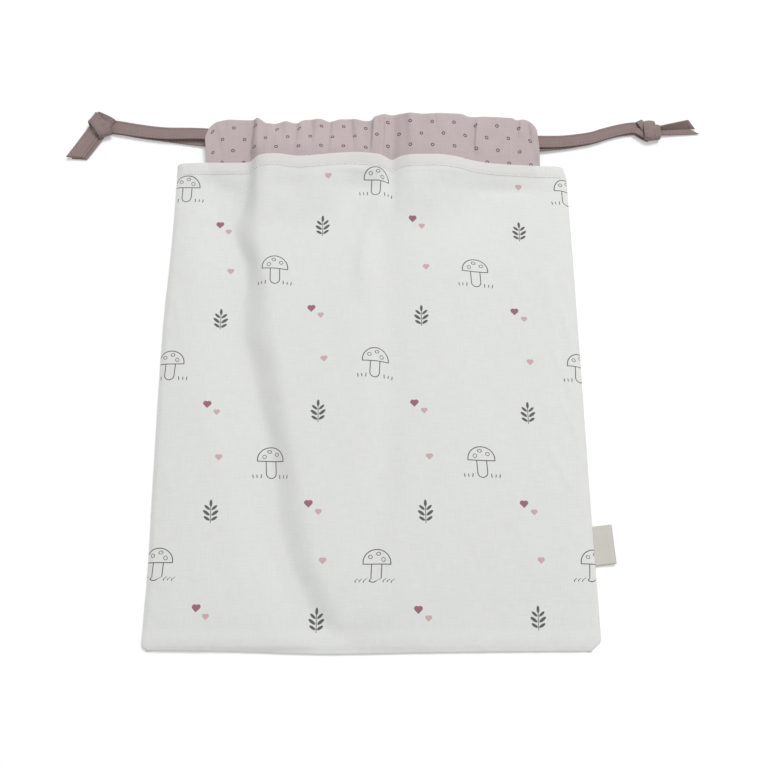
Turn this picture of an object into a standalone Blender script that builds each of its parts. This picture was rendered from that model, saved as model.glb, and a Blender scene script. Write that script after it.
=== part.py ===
"""Kinchaku drawstring pouch, empty and lying flat on its back.

Two cotton panels are sewn together along the sides and the bottom. At the mouth each panel
carries a casing, a flat cloth tube tucked under its hem. Two flat tapes run through both
casings from opposite ends, and each is knotted outside the end that it leaves by.

Metres, +X across the pouch, +Y towards the mouth, +Z out of the front. The origin is the
centre of the back panel's underside, which lies on the ground.
"""

import math

import bmesh
import bpy
from mathutils import Vector

# The bag
BODY_HEIGHT = 0.300
BODY_WIDTH = 0.250  # across the bottom seam
MOUTH_WIDTH = 0.243  # across the top hem
CLOTH = 0.0006  # cotton with its turned-in allowance
FIT = 0.0003  # gap between neighbouring pieces
SEAM_MARGIN = 0.003  # flat strip along a sewn edge
ROUND_CORNER = 0.007  # radius of the lower left corner
CUT_CORNER = 0.010  # leg of the bevel at the lower right corner

# The casings at the mouth
CASING_INSET = 0.0155  # from the side seam to a casing's open end
CASING_WIDTH = 0.038
CASING_TUCK = 0.010  # how much of it lies under the hem
CASING_WALL = 0.0005
GATHER_DEPTH = 0.0011  # ripple of a casing's outer face
GATHER_PITCH = 0.0151
TOP_DIP = 0.0022  # where a gather pulls a casing's top edge down

# The drawstrings
TAPE_WIDTH = 0.008
TAPE_THICKNESS = 0.001
BIGHT_REACH = 0.0008  # how far a tape clears the casing's end before it turns back
TAIL_LENGTH = 0.021
TAIL_SKEW = 0.0035  # slant of a tail's cut end, either side of its middle

# The knots: size along X, Y and Z, and place out from the casing's end and above the hem
LEFT_KNOT_SIZE = (0.0130, 0.0170, 0.0058)
RIGHT_KNOT_SIZE = (0.0110, 0.0160, 0.0058)
LEFT_KNOT_PLACE = (0.0663, 0.0232)
RIGHT_KNOT_PLACE = (0.0730, 0.0245)
KNOT_ROUNDING = 0.0024
WRAP_WIDTH = 0.0075  # the turn that crosses the knot
WRAP_RISE = 0.0007

# The label folded into the right seam
LABEL_REACH = 0.0115
LABEL_WIDTH = 0.022
LABEL_THICKNESS = 0.0004
LABEL_HEIGHT_ON_SIDE = 0.058  # its middle above the bottom seam

# How the empty cloth lies
MOUTH_GAP = 0.0083  # how far the front casing lifts off the back one
MOUTH_NOTCH = 0.0030  # the front's sag between its two swells at the mouth
RISE_X, RISE_RUN = -0.092, 0.034  # the swell's left shoulder at the mouth
FALL_X, FALL_RUN = 0.040, 0.052  # its right shoulder there
NOTCH_X, NOTCH_WIDTH = 0.013, 0.011
SIDE_RUN = 0.030  # from the side seam to full height
BOTTOM_RUN = 0.018
CASING_RUN = 0.033  # how far below the casings the front takes up their shape
FOLD_RUN = 0.016  # width of the steep fold left of the middle
VALLEY_WIDTH = 0.011
SWELL_SLOPE, SWELL_RUN = 0.0009, 0.070  # how the swell sinks to the right of its fold
RIGHT_RUN = 0.044  # from the valley to the level right of it
RIGHT_BELLY, BELLY_OUT, BELLY_WIDTH = 0.0015, 0.034, 0.026
FLANK_RISE, FLANK_RUN = 0.0019, 0.030  # left of the fold, out from its foot

# How the front runs down the bag: (Y, value) points, with X for lines and Z for undersides
LEFT_FOLD = [(-0.150, -0.016), (-0.123, -0.033), (-0.093, -0.042), (-0.067, -0.0525),
             (-0.032, -0.060), (0.005, -0.068), (0.058, -0.0765), (0.104, -0.0845),
             (0.122, -0.0825), (0.137, -0.075)]
VALLEY = [(-0.150, -0.010), (-0.109, 0.000), (-0.067, 0.010), (-0.008, 0.015),
          (0.042, 0.017), (0.095, 0.0125), (0.137, 0.0125)]
VALLEY_DEPTH = [(-0.120, 0.0), (-0.062, 0.0002), (0.0, 0.0008), (0.042, 0.0005),
                (0.095, 0.0010), (0.137, 0.0012)]
SWELL_TOP = [(-0.150, 0.0009), (-0.130, 0.0030), (-0.114, 0.0046), (-0.095, 0.0057),
             (-0.060, 0.0066), (0.0, 0.0076), (0.060, 0.0089), (0.100, 0.0105), (0.137, 0.0125)]
APRON = [(-0.150, 0.0009), (-0.142, 0.0016), (-0.120, 0.0021), (0.0, 0.0026), (0.120, 0.0032)]
RIGHT_LEVEL = [(-0.150, 0.0009), (-0.142, 0.0018), (-0.125, 0.0027), (-0.100, 0.0038),
               (-0.060, 0.0047), (0.0, 0.0056), (0.080, 0.0074), (0.110, 0.0088)]
FOLD_COLUMN_X = -0.045  # the panel's columns follow the fold no further than this

# Resolution
TAPE_STATIONS = 28  # steps along a casing that the tape, the casings and the front share
CASING_STEPS = 2  # finer steps of a casing within one of those
SIDE_STEPS = (0.30, 0.62, 0.88, 1.0)  # columns between the casing's end and the seam
BODY_ROWS = 21

# Colours, linear
WHITE_COTTON = (0.75, 0.76, 0.74)
PINK_COTTON = (0.51, 0.43, 0.43)
MAUVE_TAPE = (0.27, 0.20, 0.19)
LABEL_BEIGE = (0.60, 0.57, 0.50)

# Levels, from the ground up
CASING_DEPTH = TAPE_THICKNESS + 2 * FIT + 2 * CASING_WALL
BACK_CASING_Z = CLOTH + FIT + CASING_DEPTH / 2
FRONT_CASING_Z = BACK_CASING_Z + CASING_DEPTH + FIT
OVER_CASING_Z = FRONT_CASING_Z + CASING_DEPTH / 2 + FIT
SEAM_Z = CLOTH + FIT
LOWER_TAPE_Z = FIT + TAPE_THICKNESS / 2
UPPER_TAPE_Z = LOWER_TAPE_Z + TAPE_THICKNESS + FIT

# Routes of the free strands: out from the casing's end, above the hem, and level
LEFT_ROUTES = (
    [(0.012, 0.0190, 0.0043), (0.028, 0.0211, 0.0030), (0.044, 0.0227, UPPER_TAPE_Z + 0.0002)],
    [(0.012, 0.0164, 0.0013), (0.028, 0.0194, LOWER_TAPE_Z), (0.044, 0.0218, LOWER_TAPE_Z)],
)
RIGHT_ROUTES = (
    [(0.014, 0.0157, 0.0043), (0.029, 0.0182, 0.0031), (0.047, 0.0222, UPPER_TAPE_Z + 0.0002)],
    [(0.014, 0.0133, 0.0013), (0.029, 0.0168, LOWER_TAPE_Z), (0.047, 0.0214, LOWER_TAPE_Z)],
)

# The tails: shift along the knot's face, heading in degrees, change in length, and level
LEFT_TAILS = (
    ("left_tail_lower", -0.0032, 238, -0.004, LOWER_TAPE_Z),
    ("left_tail_upper", -0.0017, 234, -0.005, UPPER_TAPE_Z),
)
RIGHT_TAILS = (
    ("right_tail_lower", -0.0015, 1, 0.002, LOWER_TAPE_Z),
    ("right_tail_upper", 0.0010, 5, -0.003, UPPER_TAPE_Z),
)

# Places along Y
BOTTOM_Y = -BODY_HEIGHT / 2
HEM_Y = BODY_HEIGHT / 2
CASING_LOW_Y = HEM_Y - CASING_TUCK
CASING_TOP_Y = CASING_LOW_Y + CASING_WIDTH
CASING_END_X = MOUTH_WIDTH / 2 - CASING_INSET
CASING_LENGTH = 2 * CASING_END_X

# Lanes of the tapes inside the casings, from the casing's top edge down
LANE_SPARE = 0.0001  # what a slanting tape needs past its fit
LEFT_TURN_Y = CASING_TOP_Y - CASING_WALL - FIT - 2 * LANE_SPARE - TAPE_WIDTH / 2
LANE_PITCH = TAPE_WIDTH + FIT + LANE_SPARE
LEFT_FRONT_DROP = 0.0055  # how much lower the left tape leaves the front casing than it turns
LEFT_BACK_DROP = 0.0088  # the same in the back casing
RIGHT_FRONT_DROP = 0.0012  # how much lower the right tape runs on once it has turned
RIGHT_BACK_DROP = 0.0030  # how much lower it leaves the back casing than the front one


def smooth(t):
    """Ease from 0 to 1."""
    t = min(max(t, 0.0), 1.0)
    return t * t * (3 - 2 * t)


def rounded(t):
    """Rise from 0 to 1, steep at first and level at the end."""
    t = min(max(t, 0.0), 1.0)
    return t * (2 - t)


def mix(a, b, t):
    return a + (b - a) * t


def between(points, y):
    """The value at Y of a line through (Y, value) points, level beyond its ends."""
    for (low, first), (high, second) in zip(points, points[1:]):
        if y <= high:
            return mix(first, second, max((y - low) / (high - low), 0.0))
    return points[-1][1]


def half_width(y):
    """Half the flat width of the bag at a height."""
    return mix(BODY_WIDTH, MOUTH_WIDTH, (y - BOTTOM_Y) / BODY_HEIGHT) / 2


def side_x(y, side):
    """The bag's outline at a height: side is -1 for the left edge, +1 for the right one."""
    above = y - BOTTOM_Y
    if side < 0:
        drop = max(ROUND_CORNER - above, 0.0)
        inset = ROUND_CORNER - math.sqrt(ROUND_CORNER**2 - drop**2)
    else:
        inset = max(CUT_CORNER - above, 0.0)
    return side * (half_width(y) - inset)


def swell(x):
    """How far the mouth has opened: 0 where the casings lie together, 1 on the swell."""
    rise = smooth((x - RISE_X) / RISE_RUN)
    fall = smooth((x - FALL_X) / FALL_RUN)
    notch = math.exp(-(((x - NOTCH_X) / NOTCH_WIDTH) ** 2))
    return rise * (1 - fall) * (1 - MOUTH_NOTCH / MOUTH_GAP * notch)


def station_x(index):
    return -CASING_END_X + CASING_LENGTH * index / TAPE_STATIONS


def mouth_lift(x):
    """The front casing's lift, straight between stations so that tape and casing match."""
    place = (x + CASING_END_X) / CASING_LENGTH * TAPE_STATIONS
    index = min(max(int(math.floor(place + 1e-6)), 0), TAPE_STATIONS - 1)
    low, high = swell(station_x(index)), swell(station_x(index + 1))
    return MOUTH_GAP * mix(low, high, min(max(place - index, 0.0), 1.0))


def no_lift(_):
    """The back casing's lift: it lies flat."""
    return 0.0


def body_height(x, y):
    """Level of the front panel's underside away from the mouth and the seams."""
    fold, valley = between(LEFT_FOLD, y), between(VALLEY, y)
    flank = between(APRON, y) + FLANK_RISE * smooth((fold - FOLD_RUN / 2 - x) / FLANK_RUN)
    top = between(SWELL_TOP, y) - SWELL_SLOPE * smooth((x - fold) / SWELL_RUN)
    belly = math.exp(-(((x - valley - BELLY_OUT) / BELLY_WIDTH) ** 2))
    right = between(RIGHT_LEVEL, y) + RIGHT_BELLY * belly
    top = mix(top, right, smooth((x - valley) / RIGHT_RUN))
    top -= between(VALLEY_DEPTH, y) * math.exp(-(((x - valley) / VALLEY_WIDTH) ** 2))
    return mix(flank, top, smooth((x - fold) / FOLD_RUN + 0.5))


def front_height(x, y):
    """Level of the front panel's underside."""
    at_casing = smooth((y + SEAM_MARGIN + CASING_RUN - CASING_LOW_Y) / CASING_RUN)
    level = mix(body_height(x, y), OVER_CASING_Z + mouth_lift(x), at_casing)
    mouth_run = half_width(y) - SEAM_MARGIN - CASING_END_X - FIT
    from_side = half_width(y) - SEAM_MARGIN - abs(x)
    at_side = rounded(from_side / mix(SIDE_RUN, mouth_run, at_casing))
    at_bottom = rounded((y - BOTTOM_Y - SEAM_MARGIN) / BOTTOM_RUN)
    return SEAM_Z + (level - SEAM_Z) * at_side * at_bottom


def collection(name):
    made = bpy.data.collections.new(name)
    bpy.context.scene.collection.children.link(made)
    return made


def material(name, colour, roughness):
    made = bpy.data.materials.new(name)
    made.use_nodes = True
    shader = made.node_tree.nodes["Principled BSDF"]
    shader.inputs["Base Color"].default_value = (*colour, 1.0)
    shader.inputs["Roughness"].default_value = roughness
    shader.inputs["Metallic"].default_value = 0.0
    made.diffuse_color = (*colour, 1.0)
    return made


def finish_mesh(name, mesh_data, colour, target, roughness=0.85):
    """An object for a finished mesh, with its own material."""
    mesh = bpy.data.meshes.new(name)
    mesh_data.to_mesh(mesh)
    mesh_data.free()
    made = bpy.data.objects.new(name, mesh)
    mesh.materials.append(material(name, colour, roughness))
    target.objects.link(made)
    return made


def extrude_line(mesh, edges):
    """Extrude a row of edges in place: the new edges, and the new vertices."""
    grown = bmesh.ops.extrude_edge_only(mesh, edges=edges)["geom"]
    verts = [item for item in grown if isinstance(item, bmesh.types.BMVert)]
    fresh = set(verts)
    ahead = [item for item in grown if isinstance(item, bmesh.types.BMEdge)]
    return [edge for edge in ahead if fresh.issuperset(edge.verts)], verts


def thicken(piece, thickness, offset):
    """Give an open surface its wall: offset 1 grows along the normals, -1 against them."""
    solidify = piece.modifiers.new("wall", "SOLIDIFY")
    solidify.thickness = thickness
    solidify.offset = offset
    solidify.use_even_offset = True
    return piece


def along_folds(x, y):
    """Where a column that starts at X at the mouth has got to: it keeps its place between the
    casings' ends, the left fold and the valley."""
    spread = half_width(min(y, CASING_LOW_Y)) / half_width(CASING_LOW_Y)
    start = [-CASING_END_X, LEFT_FOLD[-1][1], VALLEY[-1][1], CASING_END_X]
    here = [-CASING_END_X * spread, min(between(LEFT_FOLD, y), FOLD_COLUMN_X),
            between(VALLEY, y), CASING_END_X * spread]
    return between(list(zip(start, here)), x)


def columns_at(y):
    """Columns of a panel at a height: the casing's stations, then out to both seams."""
    inner = [along_folds(station_x(i), y) for i in range(TAPE_STATIONS + 1)]
    left = [mix(inner[0], side_x(y, -1), t) for t in reversed(SIDE_STEPS)]
    right = [mix(inner[-1], side_x(y, 1), t) for t in SIDE_STEPS]
    return left + inner + right


def edges_at(y):
    """The two edges of a flat panel at a height."""
    return [side_x(y, -1), side_x(y, 1)]


def ground_level(x, y):
    return 0.0


def panel_rows():
    """Heights of a panel's rows, closer together round the lower corners and the casing."""
    corner = [BOTTOM_Y + CUT_CORNER * t for t in (0.0, 0.12, 0.35, 0.65, 1.0)]
    low = corner[-1]
    body = [mix(low, CASING_LOW_Y, i / BODY_ROWS) for i in range(1, BODY_ROWS + 1)]
    return corner + body + [mix(CASING_LOW_Y, HEM_Y, 0.5), HEM_Y]


def panel(name, columns, height, target):
    """One side of the bag: a sheet from the bottom seam to the mouth's hem."""
    sheet = bmesh.new()
    rows = panel_rows()
    first = [sheet.verts.new((x, rows[0], height(x, rows[0]))) for x in columns(rows[0])]
    edges = [sheet.edges.new(pair) for pair in zip(first, first[1:])]
    for y in rows[1:]:
        edges, line = extrude_line(sheet, edges)
        line.sort(key=lambda vert: vert.co.x)
        for vert, x in zip(line, columns(y)):
            vert.co = (x, y, height(x, y))
    bmesh.ops.recalc_face_normals(sheet, faces=sheet.faces)
    if sum(face.normal.z for face in sheet.faces) < 0:
        bmesh.ops.reverse_faces(sheet, faces=sheet.faces)
    return thicken(finish_mesh(name, sheet, WHITE_COTTON, target), CLOTH, 1.0)


def casing_section():
    """A casing's section as (Y, Z) points: a flat tube with rounded long edges."""
    radius = CASING_DEPTH / 2
    low, high = CASING_LOW_Y + radius, CASING_TOP_Y - radius
    flat = [mix(low, high, i / 6) for i in range(7)]
    cap = [math.radians(a) for a in (60, 0, -60)]
    top = [(y, radius) for y in flat]
    right = [(high + radius * math.cos(a), radius * math.sin(a)) for a in cap]
    bottom = [(y, -radius) for y in reversed(flat)]
    left = [(low - radius * math.cos(a), -radius * math.sin(a)) for a in cap]
    return top + right + bottom + left


def gather(x, y):
    """Ripple of a casing's free part, from 0 to 1, which fades out towards the hem."""
    free = smooth((y - HEM_Y - 0.002) / 0.014)
    return free * (0.5 - 0.5 * math.cos(math.tau * x / GATHER_PITCH))


def top_dip(x, y):
    """How far the casing's top edge is drawn down, deepest left of the middle."""
    free = smooth((y - HEM_Y) / (CASING_TOP_Y - HEM_Y))
    reach = smooth((x + 0.086) / 0.02) * (1 - smooth((x + 0.008) / 0.02))
    return TOP_DIP * free * reach


def casing(name, level, lift, ripple, target):
    """A casing along X, whose upper face ripples by that depth."""
    tube = bmesh.new()
    ring = [tube.verts.new((0.0, y, z)) for y, z in casing_section()]
    count = len(ring)
    edges = [tube.edges.new((ring[i], ring[(i + 1) % count])) for i in range(count)]
    steps = TAPE_STATIONS * CASING_STEPS
    rings = [ring]
    for _ in range(steps):
        edges, verts = extrude_line(tube, edges)
        rings.append(verts)
    for index, verts in enumerate(rings):
        x = -CASING_END_X + CASING_LENGTH * index / steps
        for vert in verts:
            y, z = vert.co.y, vert.co.z
            puff = ripple * gather(x, y) if z > 0 else 0.0
            vert.co = (x, y - top_dip(x, y), level + lift(x) + z + puff)
    bmesh.ops.recalc_face_normals(tube, faces=tube.faces)
    outside = max(tube.faces, key=lambda face: face.calc_center_median().z)
    if outside.normal.z < 0:
        bmesh.ops.reverse_faces(tube, faces=tube.faces)
    return thicken(finish_mesh(name, tube, PINK_COTTON, target), CASING_WALL, -1.0)


def smooth_line(points, per_span):
    """A Catmull-Rom curve through hand-chosen points."""
    points = [Vector(p) for p in points]
    padded = [2 * points[0] - points[1], *points, 2 * points[-1] - points[-2]]
    line = [points[0]]
    for a, b, c, d in zip(padded, padded[1:], padded[2:], padded[3:]):
        for step in range(1, per_span + 1):
            t = step / per_span
            bend = (2 * a - 5 * b + 4 * c - d) * t**2 + (3 * b - a - 3 * c + d) * t**3
            line.append((2 * b + (c - a) * t + bend) / 2)
    return line


def ribbon(name, line, width, thickness, colour, target):
    """A flat strip along a line: its width lies across the line and level with the ground."""
    strip = bmesh.new()
    across = Vector((0.0, 1.0, 0.0))
    rails = []
    for index, point in enumerate(line):
        side = across
        if 0 < index < len(line) - 1:
            heading = line[index + 1] - line[index - 1]
            level = Vector((-heading.y, heading.x, 0.0))
            if abs(heading.x) > 2 * abs(heading.y):
                side = level.normalized() * math.copysign(1.0, level.y)
        rails.append((point - side * width / 2, point + side * width / 2))
    ends = [strip.verts.new(p) for p in rails[0]]
    edges = [strip.edges.new(ends)]
    for low, high in rails[1:]:
        edges, verts = extrude_line(strip, edges)
        verts.sort(key=lambda vert: vert.co.y)
        verts[0].co, verts[1].co = low, high
    bmesh.ops.recalc_face_normals(strip, faces=strip.faces)
    return thicken(finish_mesh(name, strip, colour, target), thickness, 0.0)


def lane(start_y, end_y, level, lift):
    """A tape's run through one casing, a point at every station, from -X to +X."""
    xs = [station_x(i) for i in range(TAPE_STATIONS + 1)]
    return [Vector((x, mix(start_y, end_y, i / TAPE_STATIONS), level + lift(x)))
            for i, x in enumerate(xs)]


def bight(front_end, back_end, side):
    """The half turn of a tape round the far ends of the casings."""
    middle = (front_end + back_end) / 2
    radius = (front_end.z - back_end.z) / 2
    turn = []
    for degrees in (0, 45, 90, 135, 180):
        angle = math.radians(degrees)
        y = mix(front_end.y, back_end.y, degrees / 180)
        reach = BIGHT_REACH + radius * math.sin(angle)
        turn.append(Vector((middle.x + side * reach, y, middle.z + radius * math.cos(angle))))
    return turn


def outside(side, out, above, level):
    """A point that far out from a casing's end and above the hem."""
    return Vector((side * (CASING_END_X + out), HEM_Y + above, level))


def strand(side, start, route, knot_place, knot_size, level):
    """One strand of a tape from the casing's end to its knot's face."""
    points = [outside(side, *point) for point in route]
    face = outside(side, knot_place[0] - knot_size[0] / 2 - FIT, knot_place[1], level)
    return smooth_line([start, *points, face], 2)


def drawstring(name, side, runs, routes, knot_place, knot_size, target):
    """A tape from its knot through the front casing, round, and back through the other.

    side is -1 for the tape that leaves at the left. The front run and the back run go from
    -X to +X, and their routes from the casing's end to the knot.
    """
    out, far = (0, -1) if side < 0 else (-1, 0)
    inward = 1 if side < 0 else -1
    front_run, back_run = runs
    front_strand = strand(side, front_run[out], routes[0], knot_place, knot_size, UPPER_TAPE_Z)
    back_strand = strand(side, back_run[out], routes[1], knot_place, knot_size, LOWER_TAPE_Z)
    line = front_strand[:0:-1] + front_run[::inward]
    line += bight(front_run[far], back_run[far], -side)
    line += back_run[::-inward] + back_strand[1:]
    return ribbon(name, line, TAPE_WIDTH, TAPE_THICKNESS, MAUVE_TAPE, target)


def rounded_block(name, size, place, turn, target, colour=MAUVE_TAPE):
    """A block with rounded edges, turned about its upright axis."""
    block = bmesh.new()
    bmesh.ops.create_cube(block, size=1.0)
    bmesh.ops.scale(block, vec=size, verts=block.verts)
    made = finish_mesh(name, block, colour, target)
    made.location = place
    made.rotation_euler.z = turn
    bevel = made.modifiers.new("rounding", "BEVEL")
    bevel.width = KNOT_ROUNDING
    bevel.segments = 3
    bevel.limit_method = "NONE"
    return made


def knot(name, size, middle, turn, target, helpers):
    """An overhand knot in both strands: a lump with one turn of tape crossing over it."""
    lump = rounded_block(name, size, middle, 0.0, target)
    wrap_size = (WRAP_WIDTH, size[1] - KNOT_ROUNDING, size[2])
    over = middle + Vector((0.0, 0.0, WRAP_RISE))
    wrap = rounded_block(name + "_wrap", wrap_size, over, turn, helpers)
    wrap.hide_render = True
    wrap.display_type = "WIRE"
    join = lump.modifiers.new("crossing turn", "BOOLEAN")
    join.operation = "UNION"
    join.object = wrap
    return lump


def tail(name, root, along_face, heading_degrees, length, level, target):
    """A tape's cut end: its root edge lies on the knot's face, and the far one is oblique."""
    heading = Vector((math.cos(math.radians(heading_degrees)), math.sin(math.radians(heading_degrees))))
    face = Vector(along_face)
    half = face * (TAPE_WIDTH / 2) / abs(face.cross(heading))
    root = Vector(root)
    outline = [
        root - half,
        root + half,
        root + half + heading * (length - TAIL_SKEW),
        root - half + heading * (length + TAIL_SKEW),
    ]
    curve = bpy.data.curves.new(name, "CURVE")
    curve.dimensions = "2D"
    curve.fill_mode = "BOTH"
    curve.extrude = TAPE_THICKNESS / 2
    spline = curve.splines.new("POLY")
    spline.points.add(len(outline) - 1)
    for point, corner in zip(spline.points, outline):
        point.co = (corner.x, corner.y, 0.0, 1.0)
    spline.use_cyclic_u = True
    curve.materials.append(material(name, MAUVE_TAPE, 0.85))
    made = bpy.data.objects.new(name, curve)
    made.location.z = level
    target.objects.link(made)
    return made


def side_label(target):
    """A strip folded in half, its two ends at the right seam."""
    y = BOTTOM_Y + LABEL_HEIGHT_ON_SIDE
    low = FIT + LABEL_THICKNESS / 2
    high = low + LABEL_THICKNESS + FIT
    near = half_width(y - LABEL_WIDTH / 2) + FIT
    far = near + LABEL_REACH - LABEL_THICKNESS
    turn = [(far, high), (far + (high - low) / 2, (low + high) / 2), (far, low)]
    line = [Vector((x, y, z)) for x, z in [(near, high), *turn, (near, low)]]
    return ribbon("side_label", line, LABEL_WIDTH, LABEL_THICKNESS, LABEL_BEIGE, target)


def tapes(target, helpers):
    """Both drawstrings with their knots and tails."""
    left_out = LEFT_TURN_Y - LEFT_BACK_DROP
    right_out = LEFT_TURN_Y - LANE_PITCH
    right_turn = left_out - LANE_PITCH
    left_front = lane(LEFT_TURN_Y - LEFT_FRONT_DROP, LEFT_TURN_Y, FRONT_CASING_Z, mouth_lift)
    left_back = lane(left_out, LEFT_TURN_Y, BACK_CASING_Z, no_lift)
    right_front = lane(right_turn + RIGHT_FRONT_DROP, right_out, FRONT_CASING_Z, mouth_lift)
    right_back = lane(right_turn, right_out - RIGHT_BACK_DROP, BACK_CASING_Z, no_lift)

    drawstring("left_drawstring", -1, (left_front, left_back), LEFT_ROUTES,
               LEFT_KNOT_PLACE, LEFT_KNOT_SIZE, target)
    drawstring("right_drawstring", 1, (right_front, right_back), RIGHT_ROUTES,
               RIGHT_KNOT_PLACE, RIGHT_KNOT_SIZE, target)
    left = outside(-1, *LEFT_KNOT_PLACE, FIT + LEFT_KNOT_SIZE[2] / 2)
    right = outside(1, *RIGHT_KNOT_PLACE, FIT + RIGHT_KNOT_SIZE[2] / 2)
    knot("left_knot", LEFT_KNOT_SIZE, left, math.radians(32), target, helpers)
    knot("right_knot", RIGHT_KNOT_SIZE, right, math.radians(-20), target, helpers)

    foot = left.y - LEFT_KNOT_SIZE[1] / 2 - FIT
    end = right.x + RIGHT_KNOT_SIZE[0] / 2 + FIT
    across, upright = (1.0, 0.0), (0.0, 1.0)
    for name, shift, heading, cut, level in LEFT_TAILS:
        tail(name, (left.x + shift, foot), across, heading, TAIL_LENGTH + cut, level, target)
    for name, shift, heading, cut, level in RIGHT_TAILS:
        tail(name, (end, right.y + shift), upright, heading, TAIL_LENGTH + cut, level, target)


def main():
    for old in list(bpy.data.objects):
        bpy.data.objects.remove(old, do_unlink=True)
    pouch = collection("kinchaku_pouch")
    helpers = collection("cutters")

    panel("back_panel", edges_at, ground_level, pouch)
    panel("front_panel", columns_at, front_height, pouch)
    casing("back_casing", BACK_CASING_Z, no_lift, 0.0, pouch)
    casing("front_casing", FRONT_CASING_Z, mouth_lift, GATHER_DEPTH, pouch)
    tapes(pouch, helpers)
    side_label(pouch)


main()
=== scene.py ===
# %% [markdown]
# # A kinchaku drawstring pouch, empty and lying flat
#
# The pouch is two cotton panels sewn together along the sides and the bottom. At the mouth each
# panel carries a pink casing, a flat cloth tube tucked under its hem, and two flat tapes run
# through both casings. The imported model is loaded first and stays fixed. Every piece below stands
# for one of its nodes, in the same place, with the folds, hems and stitches that cloth has.

# %% Load the frame
import math

import bmesh
import bpy
from mathutils import Matrix, Vector


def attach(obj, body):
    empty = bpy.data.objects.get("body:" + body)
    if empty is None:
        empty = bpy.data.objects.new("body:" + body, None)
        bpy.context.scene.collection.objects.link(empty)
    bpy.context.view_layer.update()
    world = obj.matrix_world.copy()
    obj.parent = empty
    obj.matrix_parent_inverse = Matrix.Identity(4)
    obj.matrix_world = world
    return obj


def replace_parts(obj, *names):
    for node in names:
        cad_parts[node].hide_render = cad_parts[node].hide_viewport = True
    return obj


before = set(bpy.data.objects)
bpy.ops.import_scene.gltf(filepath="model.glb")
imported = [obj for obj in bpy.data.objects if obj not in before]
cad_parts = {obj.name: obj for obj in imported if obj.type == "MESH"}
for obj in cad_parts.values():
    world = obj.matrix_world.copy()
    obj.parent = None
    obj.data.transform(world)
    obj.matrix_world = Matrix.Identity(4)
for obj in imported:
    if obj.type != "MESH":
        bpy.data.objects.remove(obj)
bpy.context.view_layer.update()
scene = bpy.context.scene
MM = 0.001
print("nodes:", ", ".join(sorted(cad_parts)))

# %% [markdown]
# ## The camera
#
# The pouch is seen from above and from below its bottom seam, so its sides run together towards
# the mouth. That narrowing fixes how far away the camera stands. A longer lens farther off would
# draw the sides nearly parallel, so the lens is kept at 50 mm and the camera close.

# %% Place the camera


def placed(name, data):
    """A new object of the scene, which shows this data."""
    made = bpy.data.objects.new(name, data)
    scene.collection.objects.link(made)
    return made


lens = bpy.data.cameras.new("camera")
lens.lens = 50
lens.sensor_width = 36
lens.clip_start = 0.01
camera = placed("camera", lens)
camera.location = (-0.00627, -0.19375, 0.59741)
turned = Matrix.Identity(3)
for axis, degrees in [("Y", -1.31), ("X", 18.28), ("Z", -0.13)]:
    turned = turned @ Matrix.Rotation(math.radians(degrees), 3, axis)
camera.rotation_euler = turned.to_euler()
scene.camera = camera
print("camera at", tuple(round(v, 4) for v in camera.location))

# %% [markdown]
# ## Helpers for cloth
#
# Every piece here is thin cloth, so one helper makes them all. It starts from a flat grid, gives
# each corner of each face its place on the uncut cloth as a UV in millimetres, and then lifts the
# points to where the cloth lies. The weave and the print read that UV, so they follow each fold.
# A tube is a grid rolled up until its two long edges meet, where its doubles are merged.

# %% Smooth values and smooth lines


def track(points):
    """A function that runs smoothly through (place, value) points and is level beyond them."""
    slopes = [0.0]
    for (a, p), (b, q), (c, r) in zip(points, points[1:], points[2:]):
        before, after = (q - p) / (b - a), (r - q) / (c - b)
        same_way = before * after > 0
        slopes.append(2 * before * after / (before + after) if same_way else 0.0)
    slopes.append(0.0)

    def value(t):
        if t <= points[0][0]:
            return points[0][1]
        for index in range(len(points) - 1):
            (a, p), (b, q) = points[index], points[index + 1]
            if t <= b:
                u, span = (t - a) / (b - a), b - a
                keep, ease = 2 * u**3 - 3 * u**2 + 1, u**3 - 2 * u**2 + u
                arrive = u**3 - u**2
                bend = ease * slopes[index] + arrive * slopes[index + 1]
                return keep * p + (1 - keep) * q + bend * span
        return points[-1][1]

    return value


def ease(t):
    t = min(max(t, 0.0), 1.0)
    return t * t * (3 - 2 * t)


def mix(a, b, t):
    return a + (b - a) * t


def bump(distance, reach):
    """A soft bump of height 1, which fades out over about twice its reach."""
    return math.exp(-((distance / reach) ** 2))


def line_through(points, per_span):
    """A Catmull-Rom line through the given points."""
    points = [Vector(p) for p in points]
    padded = [2 * points[0] - points[1], *points, 2 * points[-1] - points[-2]]
    line = [points[0]]
    for a, b, c, d in zip(padded, padded[1:], padded[2:], padded[3:]):
        for step in range(1, per_span + 1):
            t = step / per_span
            bend = (2 * a - 5 * b + 4 * c - d) * t**2 + (3 * b - a - 3 * c + d) * t**3
            line.append((2 * b + (c - a) * t + bend) / 2)
    return line


def run_along(line):
    """How far along a line each of its points lies."""
    run = [0.0]
    for a, b in zip(line, line[1:]):
        run.append(run[-1] + (b - a).length)
    return run


def ripple(x, y, seed=0.0):
    """A gentle unevenness from -1 to 1, the sum of a few crossing waves."""
    first = math.sin(x * 0.31 + 1.3 * math.sin(y * 0.11 + seed) + seed)
    second = math.sin(y * 0.23 - x * 0.12 + 1.7 * math.sin(x * 0.07 - seed))
    third = math.sin(x * 0.67 + y * 0.41 + 2.1 * seed)
    return (first + second + 0.5 * third) / 2.5


# %% A cloth surface from a grid


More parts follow.
